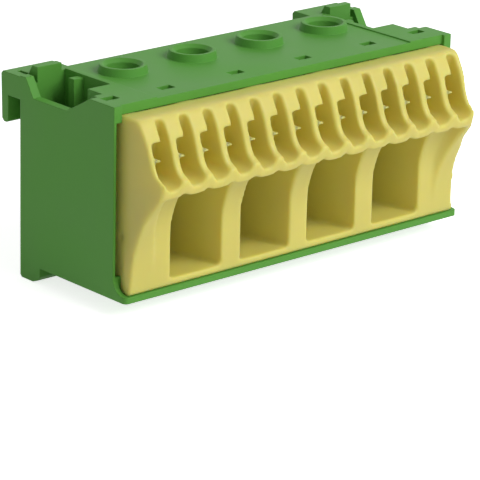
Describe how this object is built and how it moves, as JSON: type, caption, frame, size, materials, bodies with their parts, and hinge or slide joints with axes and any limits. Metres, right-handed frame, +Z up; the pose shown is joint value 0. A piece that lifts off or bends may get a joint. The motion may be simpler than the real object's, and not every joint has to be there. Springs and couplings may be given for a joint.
{
  "type": "earth terminal bar",
  "caption": "Earth terminal bar for an enclosure rail: a row of push-in wire ports with spouts above large screw-clamp ways, in a moulded housing with rail hooks.",
  "frame": {"origin": "middle of the length, on the back face, level with the underside of the floor", "axes": "+X along the bar, +Y towards the rail behind it, +Z up, so the wires come in from -Y"},
  "size_m": [0.075, 0.0388, 0.036],
  "materials": {
    "green_plastic": "moulded, slight sheen",
    "pale_plastic": "moulded, slight sheen",
    "brass_bar": "plain",
    "screw_steel": "zinc plated",
    "cage_steel": "zinc plated",
    "spring_steel": "bright rolled strip"
  },
  "bodies": {
    "terminal_bar": {"housing": "green_plastic", "wire_guide": "pale_plastic", "busbar": "brass_bar", "push_spring_01": "spring_steel", "push_spring_02": "spring_steel", "push_spring_03": "spring_steel", "push_spring_04": "spring_steel", "push_spring_05": "spring_steel", "push_spring_06": "spring_steel", "push_spring_07": "spring_steel", "push_spring_08": "spring_steel", "push_spring_09": "spring_steel", "push_spring_10": "spring_steel", "push_spring_11": "spring_steel", "push_spring_12": "spring_steel", "push_spring_13": "spring_steel", "push_spring_14": "spring_steel"},
    "screw_1": {"clamp_screw_1": "screw_steel"},
    "cage_1": {"clamp_cage_1": "cage_steel"},
    "screw_2": {"clamp_screw_2": "screw_steel"},
    "cage_2": {"clamp_cage_2": "cage_steel"},
    "screw_3": {"clamp_screw_3": "screw_steel"},
    "cage_3": {"clamp_cage_3": "cage_steel"},
    "screw_4": {"clamp_screw_4": "screw_steel"},
    "cage_4": {"clamp_cage_4": "cage_steel"}
  },
  "joints": [
    {"name": "screw_1_turn", "type": "hinge", "parent": "terminal_bar", "child": "screw_1", "pos_m": [-0.0225, -0.0081, 0.02], "axis": [0, 0, -1], "range_deg": [0, 3060.01]},
    {"name": "cage_1_lift", "type": "slide", "parent": "terminal_bar", "child": "cage_1", "axis": [0, 0, 1], "range_m": [0, 0.0085]},
    {"name": "screw_2_turn", "type": "hinge", "parent": "terminal_bar", "child": "screw_2", "pos_m": [-0.0075, -0.0081, 0.02], "axis": [0, 0, -1], "range_deg": [0, 3060.01]},
    {"name": "cage_2_lift", "type": "slide", "parent": "terminal_bar", "child": "cage_2", "axis": [0, 0, 1], "range_m": [0, 0.0085]},
    {"name": "screw_3_turn", "type": "hinge", "parent": "terminal_bar", "child": "screw_3", "pos_m": [0.0075, -0.0081, 0.02], "axis": [0, 0, -1], "range_deg": [0, 3060.01]},
    {"name": "cage_3_lift", "type": "slide", "parent": "terminal_bar", "child": "cage_3", "axis": [0, 0, 1], "range_m": [0, 0.0085]},
    {"name": "screw_4_turn", "type": "hinge", "parent": "terminal_bar", "child": "screw_4", "pos_m": [0.0225, -0.0081, 0.02], "axis": [0, 0, -1], "range_deg": [0, 3060.01]},
    {"name": "cage_4_lift", "type": "slide", "parent": "terminal_bar", "child": "cage_4", "axis": [0, 0, 1], "range_m": [0, 0.0085]}
  ],
  "couplings": [
    {"joint": "screw_1_turn", "follows": "cage_1_lift", "rad_per_m": 6283.2},
    {"joint": "screw_2_turn", "follows": "cage_2_lift", "rad_per_m": 6283.2},
    {"joint": "screw_3_turn", "follows": "cage_3_lift", "rad_per_m": 6283.2},
    {"joint": "screw_4_turn", "follows": "cage_4_lift", "rad_per_m": 6283.2}
  ]
}
